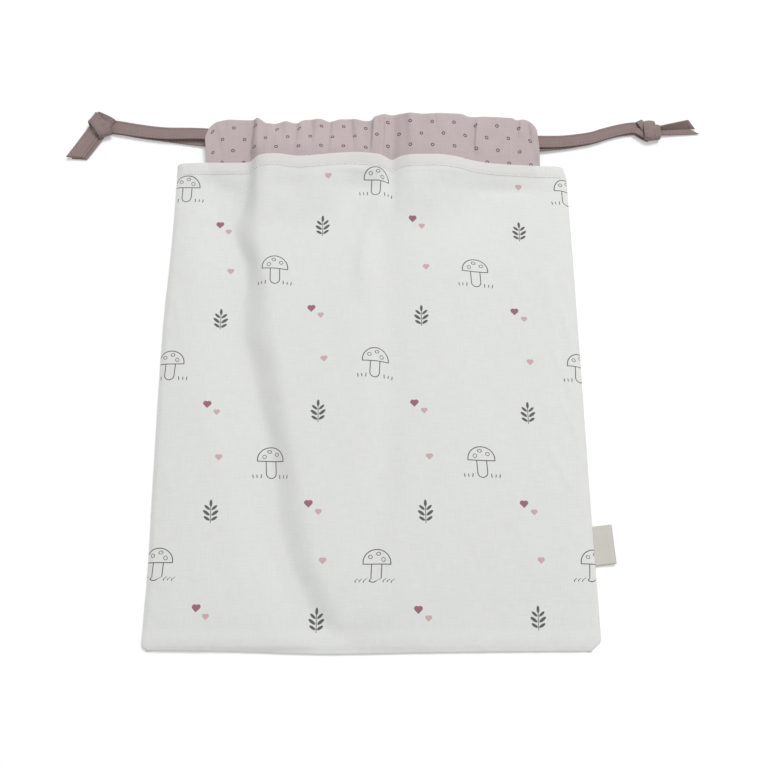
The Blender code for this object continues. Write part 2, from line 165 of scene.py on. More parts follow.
def cloth(name, across, along, place, mapped, closed=False, upside_down=False):
    """A surface of across by along faces. place and mapped take a column and a row."""
    mesh = bmesh.new()
    bmesh.ops.create_grid(mesh, x_segments=across, y_segments=along, size=1.0)
    layer = mesh.loops.layers.uv.new("cloth")
    spot = {}
    for vert in mesh.verts:
        column = round((vert.co.x + 1) / 2 * across)
        spot[vert] = (column, round((vert.co.y + 1) / 2 * along))
    for face in mesh.faces:
        face.smooth = True
        for loop in face.loops:
            loop[layer].uv = mapped(*spot[loop.vert])
    for vert, (column, row) in spot.items():
        vert.co = Vector(place(column, row)) * MM
    if closed:
        bmesh.ops.remove_doubles(mesh, verts=mesh.verts, dist=1e-6)
        bmesh.ops.recalc_face_normals(mesh, faces=mesh.faces)
    elif upside_down:
        bmesh.ops.reverse_faces(mesh, faces=mesh.faces)
    return piece_from(name, mesh)


def piece_from(name, mesh):
    """An object at the origin for a finished mesh, which rides on the pouch's one body."""
    data = bpy.data.meshes.new(name)
    mesh.to_mesh(data)
    mesh.free()
    made = placed(name, data)
    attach(made, "root")
    return made


def wall(piece, thickness, offset=-1.0, inner=0):
    """Gives an open surface its thickness in millimetres, inwards from the outer face."""
    solid = piece.modifiers.new("wall", "SOLIDIFY")
    solid.thickness = thickness * MM
    solid.offset = offset
    solid.material_offset = inner
    return piece


# %% [markdown]
# ## The tapes outside the casings
#
# A drawstring is a flat folded tape, 8 mm wide, with one row of edge stitching. Both its strands
# leave the casings at the same end and are knotted together, so each free strand is a short cord
# from the casing's end to the knot. A curve with a bevel would give a round or sharp-edged
# section, so the tape's own section is drawn point by point, with a rounded fold along one edge,
# a slit between the two layers along the other and a groove where the thread pulls it in.

# %% The tape's section, as (across, up) in millimetres
TAPE_WIDTH = 8.0
half_section = [
    (-4.0, 0.0), (-3.92, 0.28), (-3.62, 0.47), (-3.0, 0.53), (-1.6, 0.5), (0.2, 0.47),
    (1.8, 0.5), (2.45, 0.46), (2.75, 0.30), (3.05, 0.44), (3.5, 0.49), (3.88, 0.42),
    (4.0, 0.24), (3.86, 0.07),
]
under = [(a, -b) for a, b in reversed(half_section[1:])]
TAPE_SECTION = [*half_section, (3.55, 0.0), *under, half_section[0]]
print("tape section:", len(TAPE_SECTION), "points")


def tape(name, line, width=(TAPE_WIDTH, TAPE_WIDTH), rolls=(0, 0), cut=0.0, side=1):
    """A tape along a line in millimetres. width and rolls, which tilt it about its run, in
    degrees, go from its first end to its last, and cut slants that last end."""
    count, ring = len(line) - 1, len(TAPE_SECTION) - 1
    run = run_along(line)

    def place(column, row):
        ahead = (line[min(column + 1, count)] - line[max(column - 1, 0)]).normalized()
        over = Vector((0, 0, 1)).cross(ahead).normalized() * side
        up = ahead.cross(over) * side
        share = run[column] / run[-1]
        tilt = math.radians(mix(*rolls, share))
        a, b = TAPE_SECTION[row]
        slant = cut * a / TAPE_WIDTH * 2 * ease((share - 0.5) / 0.5)
        a *= mix(*width, share) / TAPE_WIDTH
        sideways = over * (a * math.cos(tilt) - b * math.sin(tilt))
        upward = up * (a * math.sin(tilt) + b * math.cos(tilt))
        return line[column] + sideways + upward + ahead * slant

    def mapped(column, row):
        return (TAPE_SECTION[row][0], run[column])

    made = cloth(name, count, ring, place, mapped, closed=True)
    close_ends(made)
    return made


def close_ends(piece):
    """Fills the open ends of a tube."""
    mesh = bmesh.new()
    mesh.from_mesh(piece.data)
    rims = [edge for edge in mesh.edges if edge.is_boundary]
    bmesh.ops.holes_fill(mesh, edges=rims, sides=0)
    bmesh.ops.recalc_face_normals(mesh, faces=mesh.faces)
    mesh.to_mesh(piece.data)
    mesh.free()


# %% [markdown]
# ## The four free strands
#
# The left strands leave the casings 106 mm left of the middle, one above the other, sink to the
# ground within a few centimetres and close up before their knot. The right ones do the same and
# climb a little on their way. Each line starts a few millimetres inside its casing.

# %% Make the free strands
# Each strand's points, its widths and its tilts, from the casing to the knot
STRANDS = {
    "left_front_strand": ([(-99, 167.8, 4.0), (-106, 168.5, 3.9), (-114, 168.8, 3.7),
                           (-121.5, 168.9, 3.4), (-128, 169.0, 3.1), (-134, 169.4, 2.9),
                           (-141, 170.2, 2.7), (-149, 171.4, 2.6), (-157, 172.8, 2.5),
                           (-162, 173.7, 2.3), (-167, 174.6, 1.6)], (8.2, 8.9), (6, -4)),
    "left_back_strand": ([(-99, 164.4, 1.9), (-106, 165.1, 1.7), (-121, 167.2, 1.2),
                          (-134, 169.2, 0.9), (-142, 170.3, 0.8), (-149, 171.5, 0.8),
                          (-157, 173.1, 0.8), (-166, 174.2, 0.9)], (8.2, 8.9), (-6, 0)),
    "right_front_strand": ([(99, 164.9, 4.0), (106, 165.2, 3.9), (122, 165.9, 3.5),
                            (139, 168.9, 2.9), (148.6, 172.2, 2.6), (158, 175.1, 2.5),
                            (167, 176.9, 2.5), (175, 177.0, 2.4)], (8.2, 7.2), (-6, -4)),
    "right_back_strand": ([(99, 162.9, 1.9), (106, 163.3, 1.7), (122, 165.2, 1.3),
                           (139, 168.9, 0.9), (149, 172.4, 0.8), (158, 174.9, 0.8),
                           (167, 176.1, 0.8), (175, 176.0, 0.9)], (8.2, 7.4), (8, 4)),
}
strands, strand_lines = {}, {}
for name, (points, widths, tilts) in STRANDS.items():
    line = strand_lines[name] = line_through(points, 5)
    side = 1 if name.startswith("left") else -1
    strands[name] = tape(name, line, widths, tilts, side=side)
    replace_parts(strands[name], "left_drawstring" if side > 0 else "right_drawstring")
    print(name, round(run_along(line)[-1], 1), "mm")

# %% [markdown]
# ## The knots
#
# Each pair of strands ends in one overhand knot. Tied flat tape lies as a few crossing turns, so
# a knot is a small core with bands of the same tape wrapped round it, each at its own angle. A
# true knotted sweep would twist where the tape folds over, and its turns would cut each other.

# %% Bands and cores


def band(name, middle, heading, reach, rise, width, fan=0.0, shear=0.0, tilt=0.0, belly=0.0):
    """A turn of tape round a knot. heading is the way that it crosses the top, in degrees. fan
    lengthens the turn along its left edge and shortens it along its right one, tilt lifts the
    left edge, and belly rounds the turn towards both edges."""
    along = Vector((math.cos(math.radians(heading)), math.sin(math.radians(heading)), 0.0))
    aside = Vector((-along.y, along.x, 0.0))
    steps = 48

    def place(column, row):
        angle = math.tau * column / steps
        c, s = math.cos(angle), math.sin(angle)
        a, b = TAPE_SECTION[row]
        slack = 1.0 - belly * (a / 4) ** 2
        out = math.copysign(abs(c) ** 0.8, c) * (reach * slack + fan * a / 4 + b)
        up = math.copysign(abs(s) ** 0.75, s) * (rise * slack + b)
        up += max(tilt * a / 4, 0.0) if s > 0 else 0.0
        across = a * width / TAPE_WIDTH + shear * s
        return Vector(middle) + along * out + aside * across + Vector((0, 0, up))

    def mapped(column, row):
        return (TAPE_SECTION[row][0], 4 * reach * column / steps)

    return cloth(name, steps, len(TAPE_SECTION) - 1, place, mapped, closed=True)


def core(name, middle, size):
    """The squashed lump of tape inside a knot."""
    mesh = bmesh.new()
    bmesh.ops.create_cube(mesh, size=1.0)
    bmesh.ops.subdivide_edges(mesh, edges=mesh.edges, cuts=5, use_grid_fill=True)
    for vert in mesh.verts:
        vert.co = vert.co.lerp(vert.co.normalized() * 0.5, 0.72)
    bmesh.ops.scale(mesh, vec=Vector(size) * MM, verts=mesh.verts)
    bmesh.ops.translate(mesh, vec=Vector(middle) * MM, verts=mesh.verts)
    layer = mesh.loops.layers.uv.new("cloth")
    for face in mesh.faces:
        face.smooth = True
        for loop in face.loops:
            loop[layer].uv = (loop.vert.co.x / MM, loop.vert.co.y / MM)
    return piece_from(name, mesh)


# %% Make the knots
left_knot = [
    core("left_knot_core", (-171.4, 173.8, 2.8), (12.0, 12.0, 4.4)),
    band("left_knot_turn", (-172.9, 173.2, 3.3), -53, 7.7, 2.7, 7.8, fan=1.3, shear=0.5,
         tilt=0.8),
    band("left_knot_hood", (-169.9, 177.4, 2.3), -27, 5.7, 1.7, 7.0, fan=0.5, tilt=1.5),
]
right_knot = [
    core("right_knot_core", (179.0, 174.2, 2.8), (10.0, 10.0, 4.4)),
    band("right_knot_turn", (177.9, 174.4, 3.3), 92, 6.5, 2.8, 7.8, shear=0.4, belly=0.14),
    band("right_knot_ridge", (182.1, 173.6, 2.7), 90, 4.9, 2.1, 5.0, belly=0.12),
    band("right_knot_fold", (173.2, 177.6, 2.7), 118, 3.9, 1.9, 4.4),
    band("right_knot_root", (173.2, 172.0, 2.2), -33, 5.2, 1.4, 4.6),
]
for piece in left_knot:
    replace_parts(piece, "left_knot")
for piece in right_knot:
    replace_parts(piece, "right_knot")
print("knot pieces:", len(left_knot) + len(right_knot))

# %% [markdown]
# ## The tails
#
# Beyond each knot the tape's two cut ends stick out. They are short runs of the same section with
# oblique ends. At the left one lies on the other, and at the right the upper one stands on edge.

# %% Make the tails
tail_lines = {
    "left_tail_under": ([(-170.9, 173.2, 1.2), (-178.4, 160.4, 0.9), (-183.9, 151.4, 0.7)],
                        (9.0, 8.6), (0, 0), 2.3, "left_tail_lower"),
    "left_tail_over": ([(-173.0, 175.0, 2.0), (-180.8, 161.3, 2.0), (-186.4, 151.9, 1.8)],
                       (9.8, 9.7), (5, 5), 2.6, "left_tail_upper"),
    "right_tail_under": ([(180.0, 175.4, 1.7), (193.0, 176.2, 1.0), (204.6, 177.0, 0.8)],
                         (7.0, 7.2), (3, 0), 5.6, "right_tail_lower"),
    "right_tail_over": ([(180.0, 175.7, 2.6), (192.0, 177.6, 3.1), (205.4, 179.1, 3.6)],
                        (3.4, 7.0), (-74, -56), 2.6, "right_tail_upper"),
}
tails = {}
for name, (points, width, rolls, cut, node) in tail_lines.items():
    line = line_through(points, 8)
    tails[name] = tape(name, line, width, rolls, cut, side=-1)
    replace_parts(tails[name], node)
    print(name, round((line[-1] - line[0]).length, 1), "mm")

# %% [markdown]
# ## The pieces that end each strand
#
# Each free strand's length is measured, and for the upper strand the knot and the tails are
# listed, because they end both strands at once. The list is not used further here.
# The upper strand carries the knot and the tails, because they end both strands at once.

# %% List the pieces that end each upper strand
for name, (points, _, _) in STRANDS.items():
    left = name.startswith("left")
    line = strand_lines[name]
    length = run_along(line)[-1]
    on_it = []
    if "front" in name:
        on_it = [*(left_knot if left else right_knot)]
        on_it += [piece for key, piece in tails.items() if key.startswith(name[:4])]

# %% [markdown]
# ## How the empty pouch lies
#
# The front has one steep fold left of the middle, a long swell right of it that narrows towards
# the bottom, and a shallow valley that starts from a notch in the hem. A cloth simulation would
# find folds of its own, in other places. So the folds are drawn as smooth lines down the pouch,
# with heights along them, and small creases and unevenness are added to that.

# %% The outline of the bag
HEM, BOTTOM = 150.0, -150.0
SEAM = 1.4  # the level where the front's outer face meets the seams
STITCHED = 7.7  # from the hem's edge down to its stitching
LEFT_CORNER = 3.5  # the radius of the left bottom corner
hem_line = track([
    (-122, 147.6), (-110, 147.3), (-98, 147.3), (-77, 147.3), (-70, 148.6), (-60, 149.0),
    (-46, 147.4), (-32, 148.8), (-20, 150.3), (-8, 151.2), (3, 151.0), (8, 149.8), (12.4, 147.9),
    (17.4, 149.2), (30, 149.6), (45, 149.9), (55, 149.4), (64, 148.3), (80, 147.5), (106, 147.2),
    (118, 147.6), (122, 147.0),
])
bottom_line = track([
    (-125, -149.4), (-90, -149.6), (-22, -151.4), (30, -150.6), (90, -150.0), (125, -149.8),
])
left_side = track([
    (-150, 124.4), (-136, 124.3), (-115, 123.8), (-95, 123.7), (-67, 124.0), (-38, 124.2),
    (-9, 124.4), (15, 124.4), (38, 124.2), (54, 123.9), (70, 123.2), (86, 122.6), (103, 122.1),
    (130, 121.8), (150, 121.5),
])
right_side = track([(-150, 126.1), (-75, 125.1), (20, 124.4), (90, 123.7), (150, 122.9)])


def half_width(y):
    """Half the width of the back, which has straight sides."""
    return mix(125.0, 122.2, (y - BOTTOM) / (HEM - BOTTOM))


def outline(y, side):
    """The X of the front's side edge, the left one where side is -1."""
    above = y - BOTTOM
    if side < 0:
        drop = max(LEFT_CORNER - above, 0.0)
        inset = LEFT_CORNER - math.sqrt(max(LEFT_CORNER**2 - drop * drop, 0.0))
        return min(inset, 2.5) - left_side(y)
    inset = max(5.0 - above, 0.0) * 1.1 + 2.0 * ease((y - 140) / 10) ** 2
    return right_side(y) - inset


# %% Where the folds run, down the bag
left_fold = track([
    (-150, -12), (-139, -18), (-131, -24), (-121, -29), (-115, -31.5), (-108, -35), (-102, -37.4),
    (-88, -40.6), (-75, -44.2), (-61, -46.8), (-47, -48.9), (-33, -51.9), (-19, -55.2),
    (-5, -58.0), (10, -60.7), (25, -65.0), (33, -67.0), (48, -68.0), (63, -69.0), (79, -71.2),
    (87, -73.6), (95, -75.8), (103, -76.6), (111, -75.5), (120, -74.4), (136, -74.3), (150, -72.8),
])
left_fold_width = track([
    (-150, 14), (-108, 16), (-75, 18), (-47, 15), (-26, 16), (3, 19), (33, 20), (56, 17), (71, 13),
    (79, 12), (87, 14), (95, 16), (103, 18), (111, 15), (120, 11), (136, 9), (150, 7),
])
valley = track([
    (-150, -24), (-132, -15), (-120, -8), (-109, -3), (-84, 3), (-67, 6), (-38, 9), (-8, 10),
    (23, 10.5), (42, 10.5), (68, 9.5), (95, 9), (110, 12), (122, 15), (135, 14.5), (147, 12.5),
])
valley_depth = track([
    (-150, 0.0), (-138, 1.0), (-124, 2.1), (-109, 2.1), (-67, 1.9), (-8, 1.8), (42, 2.0),
    (95, 1.8), (120, 1.6), (135, 2.8), (150, 5.0),
])
swell_top = track([
    (-150, 1.5), (-147, 1.8), (-142, 3.0), (-135, 5.1), (-126, 6.6), (-110, 7.2), (-60, 7.9),
    (-20, 8.9), (20, 9.6), (60, 10.0), (100, 10.4), (126, 11.4), (150, 14.4),
])
apron = track([(-150, 1.5), (-142, 2.0), (-120, 2.2), (0, 2.3), (80, 2.6), (120, 3.3), (150, 5.2)])
right_level = track([
    (-150, 1.5), (-142, 2.4), (-125, 3.3), (-100, 4.4), (-60, 5.3), (0, 6.1), (40, 6.4), (80, 6.5),
    (110, 6.8), (150, 8.4),
])
mouth_lift = track([
    (-106, 0.0), (-96, 0.1), (-80, 0.3), (-76.5, 1.4), (-70.5, 7.6), (-65, 9.3), (-52, 9.5),
    (-40, 9.2), (-15, 8.5), (4, 6.8), (12.4, 4.4), (18, 7.0), (26, 9.2), (38, 9.2), (50, 7.4),
    (62, 4.2), (75, 1.9), (92, 0.7), (106, 0.0),
])
hem_drop = track([
    (-122, 0.7), (-112, 1.0), (-104, 1.7), (-94, 2.4), (-88, 2.2), (-82, 1.6), (-74, 0.8),
    (-66, 0.8), (-58, 1.1), (-45, 0.9), (-30, 0.9), (-20, 1.2), (-10, 1.8), (-2, 2.0), (5, 1.3),
    (10, 0.2), (16, -0.2), (24, 0.2), (34, 0.8), (46, 1.4), (58, 1.8), (70, 2.1), (84, 2.1),
    (96, 1.7), (108, 1.3), (122, 0.9),
])
edge_rise = track([(0, 0.0), (1.5, 0.30), (4, 0.50), (10, 0.70), (22, 0.9), (45, 1.0)])
ridge = track([(20, -6), (50, -5.5), (80, -4.5), (100, -1), (120, 5), (140, 10.5)])
# Hollows as (x, y, reach across, reach along, depth), creases as (x0, y0, x1, y1, width, rise)
HOLLOWS = [
    (58, 120, 20, 17, 1.9), (-4, 129, 11, 12, 1.8), (-15, 121, 9, 14, 2.0), (-48, 126, 9, 10, 1.2),
    (-96, 122, 8, 12, 1.1), (-86, 124, 5, 8, 0.8), (-98, 134.5, 7, 4, 0.7), (84, 131, 16, 5, 0.7),
    (-33, 96, 15, 26, 0.6), (112, -6, 6, 62, 0.8),
]
CREASES = [
    (113, 52, 119, 30, 1.6, 0.6), (109, 20, 118, -4, 1.8, 0.5), (112, -10, 120, -30, 1.6, 0.5),
    (104, -40, 118, -64, 2.2, 0.4), (-112, 141, -107, 133, 1.2, 0.5),
    (108, 60, 112, -60, 3.0, 0.5), (-118, 60, -112, 30, 2.2, 0.3),
    (-121, -40, -113, -62, 2.2, 0.3),
]


def crease(x, y, x0, y0, x1, y1, width, depth):
    """A low ridge along a short straight line, which fades out at both of its ends."""
    along = Vector((x1 - x0, y1 - y0))
    t = Vector((x - x0, y - y0)).dot(along) / along.length_squared
    if not -0.4 < t < 1.4:
        return 0.0
    away = (Vector((x - x0, y - y0)) - along * t).length
    return depth * bump(away, width) * ease((t + 0.4) / 0.6) * ease((1.4 - t) / 0.6)


def pocket(x, y):
    """How far the mouth sinks just left of its notch, where hem and casing go down together."""
    return 1.3 * bump(x + 3, 13) * ease((152 - y) / 10) * ease((y - 120) / 16)


def front_level(x, y):
    """The height of the front's outer face, in millimetres."""
    fold, width = left_fold(y), left_fold_width(y)
    rise = ease(max((x - fold) / width + 0.5, 0.0) ** 0.85)
    low = apron(y) + 2.4 * ease((fold - width / 2 - x) / 34)
    high = swell_top(y) - 0.9 * ease((x - fold) / 70)
    gap = x - valley(y)
    high = mix(high, right_level(y) + 1.5 * bump(gap - 34, 26), ease(gap / 44))
    body = mix(low, high, rise)
    reach = mix(11.0 if gap > 0 else 9.5, 8.0, ease((y - 118) / 20))
    body -= valley_depth(y) * bump(gap, reach)
    body += 1.7 * bump(x - ridge(y), 5.0) * ease((y - 50) / 30) * ease((142 - y) / 8)
    body = mix(body, 5.2 + mouth_lift(x), ease((y - 100) / 38))
    body -= pocket(x, y)
    for cx, cy, rx, ry, depth in HOLLOWS:
        dent = depth * math.exp(-(((x - cx) / rx) ** 2) - ((y - cy) / ry) ** 2)
        body -= dent * ease((142.5 - y) / 5)
    for line in CREASES:
        body += crease(x, y, *line)
    calm = 1 - 0.8 * ease((y - 134) / 8)
    body += calm * (0.28 * ripple(x * 0.35, y * 0.22, 0.7) + 0.10 * ripple(x * 1.1, y * 0.7, 2.1))
    from_row = y - hem_line(x) + STITCHED
    body += 0.18 * bump(from_row, 4.5) * ripple(x * 2.6, y * 0.4, 4.0) - 0.45 * bump(from_row, 1.0)
    body -= hem_drop(x) * ease((139.8 - y) / 12) * ease((y - 66) / 58)
    body -= 0.3 * ease((139.8 - y) / 2.5) * ease((y - 100) / 36)
    from_side = abs(outline(y, -1 if x < 0 else 1)) - abs(x)
    seam_run = mix(1.0, 0.55, ease((y - 138) / 8))
    body = mix(SEAM, body, edge_rise(max(from_side, 0.0) / seam_run))
    from_bottom = max(y - BOTTOM, 0.0)
    body = mix(SEAM, body, edge_rise(from_bottom * 1.1))
    body += 0.5 * ease(from_bottom / 2.6) * ease((13 - from_bottom) / 9)
    pull = bump(from_side - 3.0, 4.0) + bump(from_bottom - 3.0, 3.5)
    body += 0.22 * min(pull, 1.0) * ripple(x * 1.3, y * 1.5, 1.1)
    return body


print("front at the middle:", round(front_level(0, 0), 2), "mm")

# %% [markdown]
# ## The two panels
#
# A panel is one piece of cotton. At the sides and the bottom its edge turns in over the seam
# allowance, and at the mouth it is folded to the inside as a hem. The grid's outer columns and
# rows make those turns, so the fold is one surface with the face, and Solidify gives the cotton
# its thickness. A hem laid on as a separate strip would show a gap where the cloth turns over.

# %% Columns and rows of a panel: place along the face, angle of the turn, run past it
TURN = [(180, 2.2), (180, 1.0), (180, 0.0), (140, 0.0), (100, 0.0), (60, 0.0), (30, 0.0)]
ACROSS, ALONG = 156, 186
TURNED_LOW = 0.5  # the front's turned edges lie no lower than this, on the back panel


def spread(count, crowd):
    """Even steps from 0 to 1 that come closer together at both ends."""
    return [t - crowd * math.sin(math.tau * t) for t in (i / count for i in range(count + 1))]


columns = [(0.0, turn, -run) for turn, run in TURN]
columns += [(t, 0, 0.0) for t in spread(ACROSS, 0.03)]
columns += [(1.0, turn, run) for turn, run in reversed(TURN)]
rows = [(0.0, turn, -run) for turn, run in TURN]
rows += [(t, 0, 0.0) for t in spread(ALONG, 0.04)]
rows += [(1.0, turn, 0.0) for turn in (30, 60, 90, 120, 150, 180)]
rows += [(1.0, 180, run) for run in (1.0, 2.5, 4.5, 6.5, 8.5)]
print("panel grid:", len(columns) - 1, "by", len(rows) - 1)


def panel(name, level, up, seam_turn, hem_turn, spare):
    """One side of the bag. up is 1 for the front, whose edges turn down, and -1 for the back."""
    places = {}
    lengths = {}

    def place(column, row):
        if (column, row) in places:  # the lengths of the rows ask for each place again
            return places[column, row]
        s, side_turn, side_run = columns[column]
        t, end_turn, end_run = rows[row]
        nominal = mix(BOTTOM, HEM, t)
        left, right = outline(nominal, -1) + seam_turn, outline(nominal, 1) - seam_turn
        x = mix(left, right, s)
        top = end_run >= 0 and t == 1.0
        low, high = bottom_line(x) + seam_turn, hem_line(x) - hem_turn
        y = mix(low, high, t) - end_run
        z = level(x, max(y, low))
        if side_turn:
            angle = math.radians(side_turn)
            x += math.copysign(seam_turn * math.sin(angle), s - 0.5) - side_run
            z -= up * seam_turn * (1 - math.cos(angle))
        if end_turn:
            angle = math.radians(end_turn)
            turn = hem_turn if top else seam_turn
            y += math.copysign(turn * math.sin(angle), t - 0.5)
            drop = up * turn * (1 - math.cos(angle))
            z = z - drop if top or not side_turn else min(z, level(x, low) - drop)
        if up > 0:
            z = max(z, TURNED_LOW)
        places[column, row] = (x, y, z)
        return places[column, row]

    def mapped(column, row):
        if row not in lengths:
            line = [Vector(place(c, row)) for c in range(len(columns))]
            run = run_along(line)
            middle = min(range(len(line)), key=lambda c: abs(line[c].x))
            lengths[row] = [r - run[middle] + spare for r in run]
        t, turn, past = rows[row]
        y = mix(BOTTOM, HEM, t) + math.radians(turn) * (hem_turn if t == 1.0 else -seam_turn)
        return (lengths[row][column], y + past)

    return cloth(name, len(columns) - 1, len(rows) - 1, place, mapped, upside_down=up < 0)


# %% Make the panels
def back_level(x, y):
    """The height of the back's outer face, which lies on the ground."""
    from_edge = min(half_width(y) - abs(x), y - BOTTOM)
    return 0.12 + 0.10 * ripple(x * 0.5, y * 0.35, 3.0) + 0.12 * bump(from_edge - 1, 3)


front = wall(panel("front_cloth", front_level, 1, 0.45, 0.42, 0.0), 0.34, inner=1)
back = wall(panel("back_cloth", back_level, -1, 0.24, 0.36, 31.0), 0.3, inner=1)
for piece, node in [(front, "front_panel"), (back, "back_panel")]:
    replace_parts(piece, node)
print("front panel faces:", len(front.data.polygons))

# %% [markdown]
# ## The hem's topstitching
#
# One row of white thread runs 7.7 mm below each hem's edge, with a stitch every 2.2 mm. Each
# stitch is a small rounded lump with its long side along the row. In front a smaller, greyer
# lump between two of them is painted shade for the hole that the needle left. A dashed line in
# the material would be cheaper, but its stitches wouldn't stand up from the cloth and catch the
# light.

# %% Sew a row of stitches


def stitches(name, spots, length, width, height):
    """Stitches at (point, heading) spots, joined into one piece."""
    mesh = bmesh.new()
    for point, heading in spots:
        ahead = heading.normalized()
        over = Vector((0, 0, 1)).cross(ahead).normalized()
        turn = Matrix((ahead, over, ahead.cross(over))).transposed().to_4x4()
        size = Matrix.Diagonal((length * MM, width * MM, height * MM, 1.0))
        where = Matrix.Translation(point * MM) @ turn @ size
        bmesh.ops.create_icosphere(mesh, subdivisions=1, radius=0.5, matrix=where)
    for face in mesh.faces:
        face.smooth = True
    return piece_from(name, mesh)


STITCH_PITCH = 2.2


def hem_row(level, lift, start=-118.5):
    """Spots along a hem's stitching, on a panel with that level."""
    spots = []
    x = start
    while x < 119.5:
        y = hem_line(x) - STITCHED + 0.12 * math.sin(x * 1.7)
        ahead = Vector((1.0, hem_line(x + 1) - hem_line(x), level(x + 1, y) - level(x, y)))
        spots.append((Vector((x, y, level(x, y) + lift)), ahead))
        x += STITCH_PITCH / max(ahead.length, 1.0)
    return spots


front_stitches = stitches("front_hem_stitches", hem_row(front_level, 0.2), 1.3, 0.95, 0.6)
back_stitches = stitches("back_hem_stitches", hem_row(back_level, 0.02), 1.75, 0.42, 0.2)
# The front's greyer lumps between the stitches are painted shade for the needle holes.
front_hole_shade = stitches("front_hem_hole_shade", hem_row(front_level, 0.02, -117.4), 0.6, 0.8, 0.3)
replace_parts(front_stitches, "front_panel")
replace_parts(front_hole_shade, "front_panel")
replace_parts(back_stitches, "back_panel")
print("stitches in the front hem:", len(front_stitches.data.polygons) // 20)

# %% [markdown]
# ## The casings
#
# A casing is a band of dotted cotton folded lengthwise and sewn under the hem, open at both ends
# for the tapes. The front one follows the mouth: it rises with the swell, its free edge sags, and
# the tapes pull soft gathers and a few sharper pleats into it. It is a grid rolled into a flat
# tube. A plain flattened cylinder would have no pleats to catch the light.

# %% How the front casing lies
casing_top = track([
    (-106, 166.7), (-105, 169.2), (-103.6, 172.8), (-98, 177.2), (-90, 178.6), (-80, 178.5),
    (-74, 178.0), (-70, 175.9), (-66.4, 173.6), (-61.6, 173.0), (-54.6, 174.6), (-47.7, 173.3),
    (-42, 176.1), (-32.7, 177.1), (-26.4, 175.5), (-20, 177.0), (-12.7, 177.7), (-6, 176.3),
    (-1.5, 176.2), (1.8, 177.8), (8, 181.0), (20.7, 180.0), (34, 179.0), (40, 179.6), (57, 181.1),
    (62, 180.2), (73, 181.6), (89, 182.0), (92.4, 180.4), (97, 181.0), (102, 178.2), (105, 173.0),
    (106, 164.0),
])
top_sag = track([
    (-84, 0.0), (-74, 1.0), (-66, 4.4), (-20, 4.6), (-4, 3.2), (3, 1.2), (10, 0.4), (60, 0.2),
])
# Pleats as (x0, y0, x1, y1, width, rise), each down the casing from its free edge
PLEATS = [
    (-73.4, 180, -76.0, 144, 1.3, 1.7), (1.2, 182, -0.9, 155, 0.9, 2.1),
    (65.9, 175, 64.2, 156, 0.9, 1.6), (-46.0, 175, -47.5, 149, 2.2, 0.6),
    (-25.2, 176, -26.6, 151, 1.8, 0.8), (-12.5, 178, -11, 158, 1.6, 0.6),
    (8.0, 179, 7.2, 152, 1.8, 0.9), (-36.4, 175, -37.3, 152, 1.6, 0.4),
    (-59, 174, -61, 156, 2.0, 0.5), (22, 179, 23, 160, 2.0, 0.4), (40, 179, 41.5, 166, 1.6, 0.5),
    (94.5, 180, 93.0, 168, 0.9, 1.0), (103, 174, 92, 156, 1.4, 0.7),
    (100, 178, 101.5, 166, 1.0, 0.7), (-98, 174, -94, 156, 1.8, 0.5), (85, 179, 82, 164, 1.6, 0.4),
]
CASING_LOW = 140.6  # where a casing starts, under its hem
CASING_END = 106  # its open ends, left and right of the middle
FLAT_FOLD, FLAT_END = 178.6, 216.6  # its free edge and its second long edge, on the uncut cloth


def casing_middle(x, y):
    """The level of the middle of the front casing's flat tube."""
    sag = top_sag(x) * ease((y - 151) / 26)
    wave = 0.35 * ripple(x * 0.5, y * 0.3, 1.9) * ease((y - 148) / 10)
    return 3.7 + mouth_lift(x) - sag + wave - pocket(x, y)


def pleat(x, y, x0, y0, x1, y1, width, rise):
    """A fold that stands up steeply right of a line down the casing, and eases off beyond it."""
    t = (y0 - y) / (y0 - y1)
    away = x - mix(x0, x1, t)
    fade = ease((t + 0.2) / 0.35) * ease((1.2 - t) / 0.45)
    return rise * fade * ease(away / width + 0.5) * ease(1.0 - (away - width / 2) / 7.5)


def gathers(x, y):
    """Soft gathers of the casing's outer face, deepest along its free edge."""
    free = ease((y - 150) / 22)
    middle = ease((x + 76) / 8) * ease((8 - x) / 8)
    deep = mix(0.20, 0.62, middle) * free
    height = deep * math.sin(x * 0.56 + 0.9 * math.sin(x * 0.13) + 0.05 * (y - 160))
    height += 0.22 * free * ripple(x * 1.3, y * 0.9, 5.2) + 0.4 * free
    for x0, y0, x1, y1, width, rise in PLEATS:
        if abs(x - x0) < 24:
            height += pleat(x, y, x0, y0, x1, y1, width, rise)
            height -= 0.35 * rise * bump(x - mix(x0, x1, (y0 - y) / (y0 - y1)) + width, 1.6)
    return max(height, -0.4)


# %% Roll a casing
RING = 22
ring_steps = [0.5 - 0.5 * math.cos(math.pi * k / RING) for k in range(RING + 1)]
ring = [(f, 1) for f in ring_steps] + [(f, -1) for f in reversed(ring_steps[:-1])]


def casing(name, top, middle, face, back_face, half_depth):
    """A casing from its free edge, its level, the relief of its faces and half its thickness."""
    count = 4 * CASING_END

    def place(column, row):
        x = -CASING_END + column / 2
        f, side = ring[row]
        high = top(x)
        y = mix(CASING_LOW, high, f)
        leaning = 0.7 + 1.6 * ease((166 - y) / 18)
        x += leaning * ease((-90 - x) / 16)
        in_from_edge = min(y - CASING_LOW, high - y)
        round_it = math.sqrt(max(1 - (1 - min(in_from_edge / 1.5, 1.0)) ** 2, 0.0))
        relief = face(x, y) if side > 0 else back_face(x, y)
        filled = ease((y - 149) / 5)
        open_end = 0.5 * bump(min(x + CASING_END, CASING_END - x), 3.0)
        deep = mix(0.42, half_depth + open_end, filled)
        z = middle(x, y) + (side * deep + relief * filled) * round_it
        return (x, y, z)

    def mapped(column, row):
        f, side = ring[row]
        return (column / 2 - CASING_END, mix(CASING_LOW if side > 0 else FLAT_END, FLAT_FOLD, f))

    return wall(cloth(name, count, len(ring) - 1, place, mapped, closed=True), 0.3)


